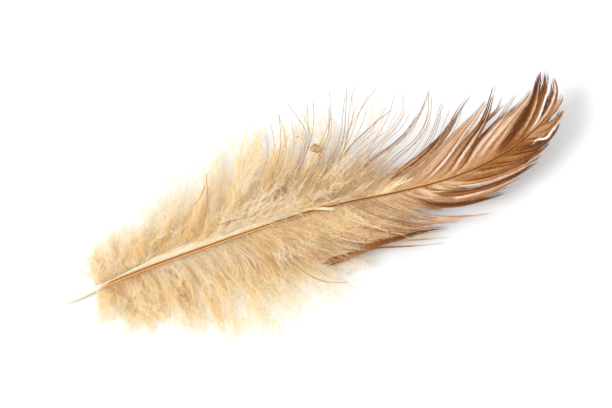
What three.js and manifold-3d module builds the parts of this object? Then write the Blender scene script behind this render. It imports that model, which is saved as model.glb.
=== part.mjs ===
// A chicken's body feather, lying on a flat surface with its inner side up, in millimetres.
// X runs along the feather from the quill's end to the tip, Y to its left, Z up from the surface.
// The feather grew as one piece, so its shaft, down and vane are one fused solid.
// A crumb of dirt caught among the barbs is the only other piece.
import * as THREE from "three";
import { mergeVertices } from "three/addons/utils/BufferGeometryUtils.js";
import Module from "manifold-3d";

const wasm = await Module();
wasm.setup();

// The shaft's line from the quill's end to the tip: x, y and height. Both ends lift off the surface.
const SHAFT_LINE = [
  [0, 0, 1.0], [7, 0.2, 1.3], [22, 0.2, 2.0], [35, -0.3, 2.4], [47, -0.8, 2.6], [60, -1.6, 2.8],
  [72, -3.2, 3.0], [84, -5.7, 3.8], [96, -7.8, 5.6], [105, -8.3, 7.6], [114, -7.4, 9.8],
  [119, -6.0, 11.1], [124.5, -3.6, 12.6],
];
// The barbs of each side: where one leaves the shaft along X, its length,
// and its angle from the shaft in degrees at its root and at its tip.
const LEFT_BARBS = [
  [8, 7.5, 66, 100], [15, 16.5, 48, 74], [22, 23, 42, 66], [30, 28.5, 36, 66], [38, 32.5, 30, 70],
  [46, 34.5, 24, 76], [54, 35.5, 18, 78], [61, 34.5, 16, 76], [69, 33, 16, 70], [76, 32, 16, 64],
  [83, 30.5, 18, 58], [90, 29, 19, 52], [97, 26.5, 20, 46], [104, 24, 22, 42], [110, 21.5, 22, 38],
  [115, 18, 22, 34], [119, 14, 20, 28], [122, 9, 16, 18], [124.5, 4, 5, 5],
];
const RIGHT_BARBS = [
  [8, 7, 95, 118], [12, 11, 88, 112], [18, 15, 80, 106], [25, 19, 72, 100], [32, 22.5, 66, 96],
  [40, 24, 60, 88], [46, 23.5, 58, 76], [52, 22, 60, 52], [56, 24, 64, 32], [60, 29, 66, 18],
  [64, 34, 66, 13], [69, 37, 62, 10], [76, 33.5, 56, 8], [84, 30, 48, 4], [92, 27, 38, 2],
  [101, 21, 30, 0], [108, 16, 28, 6], [114, 12, 24, 6], [119, 8.2, 20, 10], [122, 6, 14, 6], [124.5, 4, 0, 0],
];
// Below 1, a barb bends more near its root than near its tip: x of the root, and that power.
const LEFT_BEND = [[8, 0.8], [124.5, 0.8]];
const RIGHT_BEND = [[8, 0.8], [48, 0.8], [60, 0.5], [90, 0.5], [124.5, 0.7]];

// The shaft's x, half width and half height. The quill's end is blunt, and the rest tapers.
const SHAFT_SIZES = [
  [0, 0.34, 0.34], [1.2, 0.6, 0.58], [7, 0.68, 0.66], [12, 0.62, 0.6], [40, 0.52, 0.5],
  [80, 0.36, 0.36], [110, 0.24, 0.24], [124.5, 0.14, 0.14],
];
const SHAFT_STEPS = 22;
const SHAFT_BUNCHING = 1.25; // above 1, the steps are shorter near the quill's end
const SHAFT_SIDES = 10;
const GROOVE_DEPTH = 0.45; // share of the half height by which the groove in the shaft's upper face dips

const CUP_WIDTH = 20; // distance from the shaft at which the vane has risen by its cup
const CUP_POWER = 1.5; // above 1, it rises more steeply further out
const CUP = [[0, 0], [40, 0], [60, 2.5], [75, 3], [95, 3], [128, 2]]; // x, and the rise there

// The locks. The down's lower layer is pressed flat where the feather rests on it.
const DOWN_START = 9;
const LEFT_DOWN_END = 48;
const RIGHT_DOWN_END = 54;
const VANE_END = 123.6;
const DOWN_SPACING = 4.9; // in the layer on the surface
const TOP_SPACING = 9; // in the shorter layer above
const VANE_SPACING = 5;
const LOCK_STEPS = 6;
const RISE_TURN = 0.75 * Math.PI; // a raised lock is highest at two thirds of its length
const REST_HEIGHT = 0.5; // the height of a resting lock's middle
const SINK_BY = 0.4; // share of its length at which a resting lock has reached that height
const TIP_RISE = 0.4; // share of its height in the feather's surface that its tip keeps
const ROOT_WIDTH = 0.55; // share of a lock's width that it has at the shaft
const UNEVEN = 0.04; // how much the locks of a row differ
const UNEVEN_STEP = 2.4; // the change of phase from one lock to the next
const DOWN_LOCK = { width: 7.4, thick: 2.2, sink: 1, roll: 0.06, blunt: 4 };
const TOP_LOCK = { width: 6, thick: 2, rise: 1.6, reach: 0.75, roll: 0, blunt: 3 };
const LEFT_VANE_LOCK = { width: 5, thick: 0.9, roll: 0.12, blunt: 1.2 };
const RIGHT_VANE_LOCK = { width: 4, thick: 0.9, roll: 0.12, blunt: 2.5 };

const UNDER_SIZE = 300; // the block below the surface, which cuts the locks flat

const CRUMB = [68.98, 11.53, 6.2]; // the crumb's place
const CRUMB_SIZE = [1.4, 1.2, 0.9]; // its half sizes
const CRUMB_DENTS = 0.16; // share of its size that its dents and bumps reach
const BOX_CENTRE = [64.331, 0.606]; // the middle of the whole feather's outline, which is the origin

const UP = new THREE.Vector3(0, 0, 1);
const degrees = THREE.MathUtils.degToRad;

// Every value of a table's row at x, by a smooth curve through the rows.
function at(rows, x) {
  const last = rows.length - 1;
  const here = THREE.MathUtils.clamp(x, rows[0][0], rows[last][0]);
  let i = 0;
  while (i < last - 1 && here > rows[i + 1][0]) i++;
  const step = (k) => rows[k + 1][0] - rows[k][0];
  const rise = (k, c) => (rows[k + 1][c] - rows[k][c]) / step(k);
  const slope = (k, c) => {
    if (k === 0) return rise(0, c);
    if (k === last) return rise(last - 1, c);
    return (rise(k, c) * step(k - 1) + rise(k - 1, c) * step(k)) / (step(k) + step(k - 1));
  };
  const h = step(i);
  const t = (here - rows[i][0]) / h;
  return rows[i].slice(1).map((from, j) => {
    const c = j + 1;
    const to = rows[i + 1][c];
    const ease = t * t * (3 - 2 * t);
    return (
      from + (to - from) * ease +
      h * (t ** 3 - 2 * t * t + t) * slope(i, c) +
      h * (t ** 3 - t * t) * slope(i + 1, c)
    );
  });
}

// The shaft's y and height at x, carried straight on past its end.
function shaftAt(x) {
  const end = SHAFT_LINE[SHAFT_LINE.length - 1];
  const before = SHAFT_LINE[SHAFT_LINE.length - 2];
  const over = Math.max(x - end[0], 0) / (end[0] - before[0]);
  return at(SHAFT_LINE, x).map((v, j) => v + over * (end[j + 1] - before[j + 1]));
}

function shaftHeading(x) {
  return Math.atan2(shaftAt(x + 0.5)[0] - shaftAt(x - 0.5)[0], 1);
}

function between(rows, x) {
  let i = 0;
  while (i < rows.length - 2 && x > rows[i + 1][0]) i++;
  const share = THREE.MathUtils.clamp((x - rows[i][0]) / (rows[i + 1][0] - rows[i][0]), 0, 1);
  return rows[i][1] + share * (rows[i + 1][1] - rows[i][1]);
}

// The feather's surface: the shaft's height, and the vane's rise away from it.
function sheetHeight(x, y) {
  const [shaftY, shaftZ] = shaftAt(x);
  return shaftZ + between(CUP, x) * (Math.abs(y - shaftY) / CUP_WIDTH) ** CUP_POWER;
}

// Points along a barb in the feather's surface. side is 1 on the left and -1 on the right.
function barbPath(side, root, reach = 1, steps = LOCK_STEPS) {
  const [length, first, last] = at(side > 0 ? LEFT_BARBS : RIGHT_BARBS, root);
  const power = between(side > 0 ? LEFT_BEND : RIGHT_BEND, root);
  const heading = shaftHeading(root);
  const fine = 4;
  const points = [new THREE.Vector3(root, shaftAt(root)[0], shaftAt(root)[1])];
  let [x, y] = [root, points[0].y];
  for (let k = 0; k < steps * fine; k++) {
    const share = (reach * (k + 0.5)) / (steps * fine);
    const angle = heading + side * degrees(first + (last - first) * share ** power);
    x += (Math.cos(angle) * length * reach) / (steps * fine);
    y += (Math.sin(angle) * length * reach) / (steps * fine);
    if (k % fine === fine - 1) points.push(new THREE.Vector3(x, y, sheetHeight(x, y)));
  }
  return points;
}

// A closed skin over rings of points. A ring of one point is a sharp end.
function loft(rings) {
  const points = [];
  const faces = [];
  const starts = rings.map((ring) => {
    points.push(...ring);
    return points.length - ring.length;
  });
  for (let r = 0; r < rings.length - 1; r++) {
    const n = Math.max(rings[r].length, rings[r + 1].length);
    for (let k = 0; k < n; k++) {
      const next = (k + 1) % n;
      const [a, b] = rings[r].length > 1 ? [starts[r] + k, starts[r] + next] : [starts[r], starts[r]];
      const sharp = rings[r + 1].length === 1;
      const [c, d] = sharp ? [starts[r + 1], starts[r + 1]] : [starts[r + 1] + k, starts[r + 1] + next];
      if (a !== b) faces.push(a, b, d);
      if (c !== d) faces.push(a, d, c);
    }
  }
  for (const r of [0, rings.length - 1]) {
    const ring = rings[r];
    if (ring.length === 1) continue;
    const centre = ring.reduce((sum, p) => sum.add(p), new THREE.Vector3()).divideScalar(ring.length);
    points.push(centre);
    for (let k = 0; k < ring.length; k++) {
      const edge = [starts[r] + k, starts[r] + ((k + 1) % ring.length)];
      faces.push(points.length - 1, ...(r === 0 ? edge.reverse() : edge));
    }
  }
  const geometry = new THREE.BufferGeometry().setFromPoints(points);
  geometry.setIndex(faces);
  return geometry;
}

function solidOf(geometry) {
  const bare = geometry.clone();
  bare.deleteAttribute("normal");
  bare.deleteAttribute("uv");
  const merged = mergeVertices(bare, 1e-4);
  return new wasm.Manifold(
    new wasm.Mesh({
      numProp: 3,
      vertProperties: merged.getAttribute("position").array,
      triVerts: new Uint32Array(merged.index.array),
    }),
  );
}

function geometryOf(solid) {
  const { vertProperties, triVerts } = solid.getMesh();
  const geometry = new THREE.BufferGeometry();
  geometry.setAttribute("position", new THREE.BufferAttribute(vertProperties, 3));
  geometry.setIndex(new THREE.BufferAttribute(triVerts, 1));
  geometry.computeVertexNormals();
  return geometry;
}

// The quill and the rest of the shaft, with the groove along its upper face.
function shaft() {
  const end = SHAFT_LINE[SHAFT_LINE.length - 1][0];
  const rings = [];
  for (let k = 0; k <= SHAFT_STEPS; k++) {
    const x = end * (k / SHAFT_STEPS) ** SHAFT_BUNCHING;
    const [y, z] = shaftAt(x);
    const [halfWidth, halfHeight] = at(SHAFT_SIZES, x);
    const across = new THREE.Vector2(-Math.sin(shaftHeading(x)), Math.cos(shaftHeading(x)));
    const ring = [];
    for (let s = 0; s < SHAFT_SIDES; s++) {
      const angle = Math.PI / 2 + (s * 2 * Math.PI) / SHAFT_SIDES;
      const out = halfWidth * Math.cos(angle);
      const dip = s === 0 && x > DOWN_START ? 1 - GROOVE_DEPTH : 1;
      const up = halfHeight * Math.sin(angle) * dip;
      ring.push(new THREE.Vector3(x + across.x * out, y + across.y * out, z + up));
    }
    rings.push(ring);
  }
  return loft(rings);
}

// A lock of barbs: a flat blade with a point. Its centre line is the barb's, raised by rise in its
// middle, or sunk towards the surface it rests on. A blunt lock keeps its width for longer.
function lock(side, root, { width, thick, rise = 0, sink = 0, reach = 1, roll, blunt }) {
  const path = barbPath(side, root, reach);
  const rings = path.map((point, k) => {
    const share = k / LOCK_STEPS;
    const centre = point.clone();
    const sunk = sink * THREE.MathUtils.smoothstep(share, 0, SINK_BY) * (1 - TIP_RISE * share ** 3);
    centre.z += rise * Math.sin(RISE_TURN * share) + sunk * (REST_HEIGHT - centre.z);
    if (k === LOCK_STEPS) return [centre];
    const ahead = path[k + 1].clone().sub(path[Math.max(k - 1, 0)]).normalize();
    const across = ahead.clone().cross(UP).normalize().applyAxisAngle(ahead, roll);
    const over = across.clone().cross(ahead);
    const swell = ROOT_WIDTH + (1 - ROOT_WIDTH) * Math.sin(Math.PI * Math.min(share, 0.5));
    const taper = Math.sqrt(1 - share ** blunt);
    across.multiplyScalar((width / 2) * swell * taper);
    over.multiplyScalar((thick / 2) * taper);
    return [centre.clone().sub(across), centre.clone().add(over), centre.clone().add(across), centre.sub(over)];
  });
  return loft(rings);
}

// A row of locks along one side of the shaft, no two quite alike in reach and width.
function row(side, from, to, spacing, size) {
  const gaps = Math.round((to - from) / spacing);
  return Array.from({ length: gaps + 1 }, (_, k) => {
    const uneven = 1 - UNEVEN * (1 + Math.sin(k * UNEVEN_STEP + side));
    return lock(side, from + ((to - from) * k) / gaps, {
      ...size,
      width: size.width * uneven,
      reach: (size.reach ?? 1) * uneven,
      roll: side * size.roll,
    });
  });
}

function feather() {
  const pieces = [
    shaft(),
    ...row(1, DOWN_START, LEFT_DOWN_END, DOWN_SPACING, DOWN_LOCK),
    ...row(-1, DOWN_START, RIGHT_DOWN_END, DOWN_SPACING, DOWN_LOCK),
    ...row(1, DOWN_START + 2, LEFT_DOWN_END, TOP_SPACING, TOP_LOCK),
    ...row(-1, DOWN_START + 3, RIGHT_DOWN_END, TOP_SPACING, TOP_LOCK),
    ...row(1, LEFT_DOWN_END, VANE_END, VANE_SPACING, LEFT_VANE_LOCK),
    ...row(-1, RIGHT_DOWN_END, VANE_END, VANE_SPACING, RIGHT_VANE_LOCK),
  ];
  const under = new THREE.BoxGeometry(UNDER_SIZE, UNDER_SIZE, UNDER_SIZE).translate(0, 0, -UNDER_SIZE / 2);
  const whole = wasm.Manifold.union(pieces.map(solidOf)).subtract(solidOf(under));
  // The outer skin alone is kept, which fills the small pockets closed in between crossing locks.
  return whole.decompose().reduce((most, shell) => (shell.volume() > most.volume() ? shell : most));
}

// A lump with dents and corners.
function crumb() {
  const lump = new THREE.IcosahedronGeometry(1, 1);
  const places = lump.getAttribute("position");
  for (let k = 0; k < places.count; k++) {
    const p = new THREE.Vector3().fromBufferAttribute(places, k);
    const swell = 1 + CRUMB_DENTS * Math.sin(5 * p.x + 2) * Math.cos(4 * p.y - 3 * p.z);
    places.setXYZ(k, ...p.multiplyScalar(swell).toArray());
  }
  return lump.scale(...CRUMB_SIZE);
}

const group = new THREE.Group();
const featherMesh = new THREE.Mesh(
  geometryOf(feather()),
  new THREE.MeshStandardMaterial({ color: 0xe0bd8a, roughness: 0.85, metalness: 0 }),
);
featherMesh.name = "feather";
const crumbMesh = new THREE.Mesh(
  crumb(),
  new THREE.MeshStandardMaterial({ color: 0xa98a5c, roughness: 0.95, metalness: 0 }),
);
crumbMesh.name = "dirt_crumb";
crumbMesh.position.set(...CRUMB);
group.add(featherMesh, crumbMesh);
group.position.set(-BOX_CENTRE[0], -BOX_CENTRE[1], 0);

export default group;
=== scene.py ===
# The looks of a chicken's body feather that lies inner side up on a white surface.
# Lengths are in millimetres and in the feather's own axes: x along it from the quill's end,
# y to its left and z up from the surface. Meshes are written in metres in the shared frame.
import math

import bmesh
import bpy
import numpy as np
from mathutils import Matrix, Vector


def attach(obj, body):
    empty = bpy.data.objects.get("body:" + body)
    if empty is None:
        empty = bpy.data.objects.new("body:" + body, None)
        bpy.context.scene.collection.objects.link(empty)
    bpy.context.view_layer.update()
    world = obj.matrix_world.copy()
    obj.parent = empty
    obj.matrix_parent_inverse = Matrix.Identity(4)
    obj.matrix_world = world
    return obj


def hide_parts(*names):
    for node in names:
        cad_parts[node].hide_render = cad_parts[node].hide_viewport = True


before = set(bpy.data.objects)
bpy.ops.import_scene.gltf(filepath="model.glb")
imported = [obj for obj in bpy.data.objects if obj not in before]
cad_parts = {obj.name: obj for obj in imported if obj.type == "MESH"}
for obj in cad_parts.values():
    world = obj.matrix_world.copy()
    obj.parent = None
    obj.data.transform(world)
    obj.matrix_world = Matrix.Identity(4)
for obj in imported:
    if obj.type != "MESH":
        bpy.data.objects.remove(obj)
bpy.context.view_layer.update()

MM = 0.001
BOX_CENTRE = np.array([64.331, 0.606, 0.0])  # the shared frame's origin
UP = np.array([0.0, 0.0, 1.0])
TALLEST = 14.2  # nothing rises above this height
LOWEST = 0.03

# The shaft's line: x, y and height.
SHAFT_LINE = [
    (0, 0, 1.0), (7, 0.2, 1.3), (22, 0.2, 2.0), (35, -0.3, 2.4), (47, -0.8, 2.6), (60, -1.6, 2.8),
    (72, -3.2, 3.0), (84, -5.7, 3.8), (96, -7.8, 5.6), (105, -8.3, 7.6), (114, -7.4, 9.8),
    (119, -6.0, 11.1), (124.5, -3.6, 12.6),
]
SHAFT_SIZES = [  # x, half its width and half its thickness
    (0, 0.30, 0.30), (1.2, 0.58, 0.56), (7, 0.68, 0.64), (12, 0.62, 0.6), (40, 0.52, 0.5),
    (80, 0.32, 0.40), (110, 0.2, 0.3), (124.5, 0.10, 0.14), (128, 0.03, 0.03),
]
ROOT_SHARE = 0.7  # a barb starts this share of the shaft's half width off its middle
# The barbs of each side: x of the root, length, and angle from the shaft at the root and at
# the tip. Beyond these tables, the barbs are in the tables of locks below.
LEFT_BARBS = [
    (8, 7.5, 66, 100), (15, 16.5, 48, 74), (22, 23, 42, 66), (30, 28.5, 36, 66), (38, 32.5, 30, 70),
    (46, 34.5, 24, 76), (54, 35.5, 18, 78), (61, 34.5, 16, 76), (69, 33, 16, 70), (76, 32, 16, 64),
    (83, 30.5, 18, 58), (90, 29, 19, 52),
]
RIGHT_BARBS = [
    (8, 7, 95, 118), (12, 11, 88, 112), (18, 15, 80, 106), (25, 19, 72, 100), (32, 22.5, 66, 96),
    (40, 24, 60, 88), (46, 23.5, 58, 76), (52, 22, 60, 52), (56, 24, 64, 32), (60, 29, 66, 18),
    (64, 34, 66, 13), (69, 37, 62, 10), (76, 33.5, 56, 8), (84, 30, 48, 4), (92, 27, 38, 2),
    (101, 21, 30, 0), (108, 16, 28, 6),
]
# Below 1, a barb bends more near its root than near its tip: x of the root, and that power.
LEFT_BEND = [(8, 0.8), (124.5, 0.8)]
RIGHT_BEND = [(8, 0.8), (48, 0.8), (60, 0.5), (90, 0.5), (124.5, 0.7)]
# How far the vane curls up to its sides: x, and the rise at CUP_WIDTH from the shaft.
CUP_WIDTH = 20
CUP_POWER = 1.5
CUP = [(0, 0), (40, 0), (60, 2.5), (75, 3), (95, 3), (128, 2)]
LENGTH = 128.0  # the whole feather's, from which a barb's place along it is counted

LEFT = 1
RIGHT = -1


def along(rows, x):
    """The values of a table's rows at x, on a smooth curve through them: one column to a value."""
    table = np.array(rows, float)
    keys, values = table[:, 0], table[:, 1:]
    gaps = np.diff(keys)[:, None]
    rises = np.diff(values, axis=0) / gaps
    inner = (rises[1:] * gaps[:-1] + rises[:-1] * gaps[1:]) / (gaps[1:] + gaps[:-1])
    slopes = np.vstack([rises[:1], inner, rises[-1:]])
    here = np.clip(np.asarray(x, float), keys[0], keys[-1])
    i = np.clip(np.searchsorted(keys, here, side="right") - 1, 0, len(keys) - 2)
    h = gaps[i]
    t = (here - keys[i])[..., None] / h
    ease = t * t * (3 - 2 * t)
    return (
        values[i] + (values[i + 1] - values[i]) * ease
        + h * (t**3 - 2 * t * t + t) * slopes[i]
        + h * (t**3 - t * t) * slopes[i + 1]
    )


def shaft_at(x):
    """The shaft's y and height at x, carried straight on past its end."""
    last = np.array(SHAFT_LINE[-1], float)
    before = np.array(SHAFT_LINE[-2], float)
    slope = (last[1:] - before[1:]) / (last[0] - before[0])
    over = np.maximum(np.asarray(x, float) - last[0], 0)[..., None]
    at_x = along(SHAFT_LINE, x) + over * slope
    return at_x[..., 0], at_x[..., 1]


def shaft_heading(x):
    return np.arctan2(shaft_at(x + 0.5)[0] - shaft_at(x - 0.5)[0], 1.0)


def sheet_height(x, y):
    """The height of the feather's surface: the shaft's, and the vane's rise away from it."""
    shaft_y, shaft_z = shaft_at(x)
    xs, rises = np.array(CUP, float).T
    return shaft_z + np.interp(x, xs, rises) * (np.abs(y - shaft_y) / CUP_WIDTH) ** CUP_POWER


def smoothstep(low, high, x):
    t = np.clip((x - low) / (high - low), 0, 1)
    return t * t * (3 - 2 * t)


def unit(v):
    return v / np.maximum(np.linalg.norm(v, axis=-1, keepdims=True), 1e-9)


# Meshes

UV_PATCH = np.array([0.0012, 0.012])  # a barbule's patch of the UV map: half its width, its length
BLADE_CORNERS = np.array([(-1, 0), (1, 0), (-1, 0.5), (1, 0.5), (0, 1)])
BLADE_FACES = np.array([(0, 1, 3), (0, 3, 2), (2, 3, 4)])
SPIKE_CORNERS = np.array([(-1, 0), (1, 0), (0, 1)])
SPIKE_FACES = np.array([(0, 1, 2)])


def add_object(name, data):
    made = bpy.data.objects.new(name, data)
    bpy.context.scene.collection.objects.link(made)
    return made


def add_piece(name, shape, material, node="feather"):
    """A mesh piece from points in millimetres, triangles and a u and v for each point."""
    points, triangles, uv = shape
    placed = (np.clip(points, (-9e9, -9e9, LOWEST), (9e9, 9e9, TALLEST)) - BOX_CENTRE) * MM
    mesh = bpy.data.meshes.new(name)
    mesh.vertices.add(len(placed))
    mesh.vertices.foreach_set("co", placed.astype(np.float32).ravel())
    mesh.loops.add(triangles.size)
    mesh.loops.foreach_set("vertex_index", triangles.astype(np.int32).ravel())
    mesh.polygons.add(len(triangles))
    mesh.polygons.foreach_set("loop_start", np.arange(0, triangles.size, 3, dtype=np.int32))
    layer = mesh.uv_layers.new(name="OFBake")
    layer.data.foreach_set("uv", np.clip(uv, 0, 1)[triangles.ravel()].astype(np.float32).ravel())
    mesh.polygons.foreach_set("use_smooth", np.ones(len(triangles), bool))
    mesh.update(calc_edges=True)
    mesh.materials.append(material)
    piece = add_object(name, mesh)
    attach(piece, "root")
    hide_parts(node)


def joined(parts):
    """One set of points, triangles and u, v from several."""
    starts = np.cumsum([0] + [len(points) for points, _, _ in parts[:-1]])
    return (
        np.vstack([points for points, _, _ in parts]),
        np.vstack([triangles + start for (_, triangles, _), start in zip(parts, starts)]),
        np.vstack([uv for _, _, uv in parts]),
    )


def ring_faces(rings, sides):
    """The numbers of a ring's points and of those beside them, and the triangles between rings."""
    ring = np.arange(sides)
    after = (ring + 1) % sides
    faces = []
    for first in sides * np.arange(rings - 1):
        a, b = first + ring, first + after
        faces += [np.stack([a, b, b + sides], -1), np.stack([a, b + sides, a + sides], -1)]
    return ring, after, faces


def tubes(lines, radii, u, v, sides=3):
    """Closed tubes along lines, each ending in a point. u holds one value to a line or to a point,
    and v and the radii one to a step or to a point."""
    count, steps, _ = lines.shape
    u = u if u.ndim == 2 else u[:, None]
    radii, u, v = (np.broadcast_to(part, (count, steps)) for part in (radii, u, v))
    ahead = unit(np.gradient(lines, axis=1))
    across = unit(np.cross(ahead, UP))
    over = np.cross(across, ahead)
    turn = np.linspace(0, 2 * np.pi, sides, endpoint=False)
    spokes = (
        across[:, :-1, None] * np.cos(turn)[:, None] + over[:, :-1, None] * np.sin(turn)[:, None]
    )
    rings = lines[:, :-1, None] + spokes * radii[:, :-1, None, None]
    points = np.concatenate([rings.reshape(count, -1, 3), lines[:, -1:]], axis=1)
    ring, after, between = ring_faces(steps - 1, sides)
    end = (steps - 2) * sides
    faces = np.vstack([
        np.stack([ring[0] + 0 * ring[2:], ring[2:], ring[1:-1]], -1), *between,
        np.stack([end + ring, end + after, np.full(sides, end + sides)], -1),
    ])
    triangles = faces[None] + points.shape[1] * np.arange(count)[:, None, None]
    u, v = (
        np.concatenate([np.repeat(w[:, :-1], sides, axis=1), w[:, -1:]], axis=1) for w in (u, v))
    aside = np.append(np.tile(np.linspace(-1, 1, sides), steps - 1), 0) * UV_PATCH[0]
    uv = np.stack([u + aside[None], v], -1)
    return points.reshape(-1, 3), triangles.reshape(-1, 3), uv.reshape(-1, 2)


def flat_barbules(corners, faces, places, uv):
    """Flat pieces from their corners on the UV map, their faces and their corners' places."""
    points = np.stack(places, 1)
    triangles = faces[None] + len(corners) * np.arange(len(points))[:, None, None]
    patches = uv[:, None] + corners * UV_PATCH
    return points.reshape(-1, 3), triangles.reshape(-1, 3), patches.reshape(-1, 2)


def blades(base, middle, tip, across, uv):
    """Flat barbules that bend once and end in a point. across is half as wide as their base."""
    places = (base - across, base + across, middle - 0.8 * across, middle + 0.8 * across, tip)
    return flat_barbules(BLADE_CORNERS, BLADE_FACES, places, uv)


def spikes(base, tip, across, uv):
    """Flat, straight barbules, each one triangle."""
    return flat_barbules(SPIKE_CORNERS, SPIKE_FACES, (base - across, base + across, tip), uv)


# Barbs

def plan_lines(side, roots, reach, turn, steps, bend_by):
    """Barbs seen from above, one row of x and y to a barb. turn bends each outwards, in degrees.
    A bend_by above 1 brings the barb's own bend nearer its tip."""
    length, first, last = along(LEFT_BARBS if side == LEFT else RIGHT_BARBS, roots).T
    power = np.interp(roots, *np.array(LEFT_BEND if side == LEFT else RIGHT_BEND).T)[:, None]
    share = (np.arange(steps) + 0.5) / steps
    bend = (reach[:, None] * share) ** (power * bend_by)
    angle = first[:, None] + (last - first)[:, None] * bend + turn[:, None] * share**1.5
    direction = shaft_heading(roots)[:, None] + side * np.radians(angle)
    step = (length * reach / steps)[:, None]
    ahead = np.stack([np.cos(direction) * step, np.sin(direction) * step], -1)
    beside = side * ROOT_SHARE * along(SHAFT_SIZES, roots)[:, 0]
    start = np.stack([roots, shaft_at(roots)[0] + beside], -1)[:, None]
    return np.concatenate([start, start + np.cumsum(ahead, axis=1)], axis=1)


def gathered(lines, lock_of, lock_lines, pull, start):
    """Lines drawn towards the middle of their lock, more so towards their tips."""
    share = np.linspace(0, 1, lines.shape[1])
    amount = pull[lock_of][:, None] * smoothstep(start, 0.95, share)
    return lines + (lock_lines[lock_of] - lines) * amount[..., None]


def waved(lines, size, turns, rng):
    """Lines with a slight sideways wave."""
    share = np.linspace(0, 1, lines.shape[1])
    ahead = unit(np.gradient(lines, axis=1))
    aside = np.stack([-ahead[..., 1], ahead[..., 0]], -1)
    phase = rng.uniform(0, 1, (len(lines), 1))
    wave = size * np.sin(2 * np.pi * (turns * share + phase)) * share
    return lines + aside * wave[..., None]


def cut_into_locks(roots, edges):
    """Which lock each barb is in, and the root in each lock's middle."""
    lock_of = np.clip(np.searchsorted(edges, roots) - 1, 0, len(edges) - 2)
    return lock_of, (edges[:-1] + edges[1:]) / 2


def line_lengths(lines):
    return np.linalg.norm(np.diff(lines, axis=1), axis=2).sum(axis=1)


def on_lines(lines, spacing, rng):
    """Spots along every line at about a spacing: the line, the share, the place and the way."""
    counts = np.maximum((line_lengths(lines) / spacing).astype(int), 1)
    owner = np.repeat(np.arange(len(lines)), counts)
    order = np.arange(len(owner)) - np.repeat(np.cumsum(counts) - counts, counts)
    share = (order + rng.uniform(0, 1, len(owner))) / counts[owner]
    place = share * (lines.shape[1] - 1)
    i = np.minimum(place.astype(int), lines.shape[1] - 2)
    rest = (place - i)[:, None]
    spot = lines[owner, i] * (1 - rest) + lines[owner, i + 1] * rest
    ahead = unit(lines[owner, i + 1] - lines[owner, i])
    return owner, share, spot, ahead


def at_share(values, owner, share):
    """What lines hold at a share of their length. One value to a line stays as it is."""
    if values.ndim == 1:
        return values[owner]
    place = share * (values.shape[1] - 1)
    i = np.minimum(place.astype(int), values.shape[1] - 2)
    return values[owner, i] + (values[owner, i + 1] - values[owner, i]) * (place - i)


SHORTEST = 0.05  # a barbule below this length isn't grown
BARBULE_SHADES = 0.002  # how far a barbule's u strays from its barb's, which changes its colour


def grow_barbules(lines, u, spacing, rng, length_at, lean, tilt, width, curl, v=None):
    """Barbules to both sides of every line. length_at gives a length from the line and the share.
    v is the place along the map where that isn't the share itself."""
    parts = []
    for hand in (1, -1):
        owner, share, spot, ahead = on_lines(lines, spacing, rng)
        size = length_at(owner, share) * rng.uniform(0.6, 1.25, len(owner))
        grown = size > SHORTEST
        owner, share, spot, ahead, size = (
            part[grown] for part in (owner, share, spot, ahead, size))
        aside = hand * unit(np.cross(UP, ahead))
        over = unit(np.cross(ahead, np.cross(UP, ahead)))
        leaning = np.radians(rng.normal(lean, 8 + tilt / 6, len(owner)))[:, None]
        tilting = np.radians(rng.normal(0, tilt, len(owner)))[:, None]
        way = np.cos(leaning) * ahead + np.sin(leaning) * (
            np.cos(tilting) * aside + np.sin(tilting) * over
        )
        stray = rng.normal(0, curl, (len(owner), 3))
        middle = spot + way * (0.5 * size)[:, None]
        onward = unit(way + stray + 0.5 * curl * ahead)
        tip = middle + onward * (0.5 * size)[:, None]
        flat = unit(np.cross(way, unit(rng.normal(0, tilt / 90, (len(owner), 3)) + over)))
        across = flat * (width / 2)
        shade = at_share(u, owner, share) + rng.normal(0, BARBULE_SHADES, len(owner))
        uv = np.stack([shade, share if v is None else v[owner] + 0.1 * share], -1)
        parts.append(
            blades(spot, middle, tip, across, uv) if curl else spikes(spot, tip, across, uv))
    return joined(parts)


# Materials

CREAM = (0.97, 0.915, 0.80)
GOLD = (0.975, 0.82, 0.51)
TAN = (0.68, 0.45, 0.25)
BROWN = (0.37, 0.155, 0.045)
DARK = (0.17, 0.05, 0.012)
PIGMENTS = ((0.0, CREAM), (0.25, GOLD), (0.5, TAN), (0.78, BROWN), (1.0, DARK))
# Colours of the dark groove line: the shaft's brown, made darker as painted shade of the groove.
GROOVE_BROWN_AND_SHADE_COLOURS = (
    (0.0, GOLD), (0.7, (0.42, 0.15, 0.02)), (0.85, (0.24, 0.075, 0.006)),
    (1.0, (0.10, 0.03, 0.005)),
)
HAIR_PIGMENTS = (
    (0.0, GOLD), (0.35, (0.72, 0.50, 0.27)), (0.7, (0.47, 0.26, 0.10)), (1.0, (0.16, 0.07, 0.02)),
)
VANE_PIGMENTS = (
    (0.0, (0.96, 0.90, 0.84)), (0.3, (0.80, 0.63, 0.50)), (0.55, (0.56, 0.315, 0.14)),
    (0.8, (0.32, 0.11, 0.02)), (1.0, (0.10, 0.026, 0.006)),
)
SHAFT_COLOURS = (
    (0.0, (0.72, 0.69, 0.56)), (0.2, (0.54, 0.395, 0.23)), (0.5, (0.62, 0.31, 0.09)),
    (1.0, (0.17, 0.06, 0.015)),
)


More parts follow.
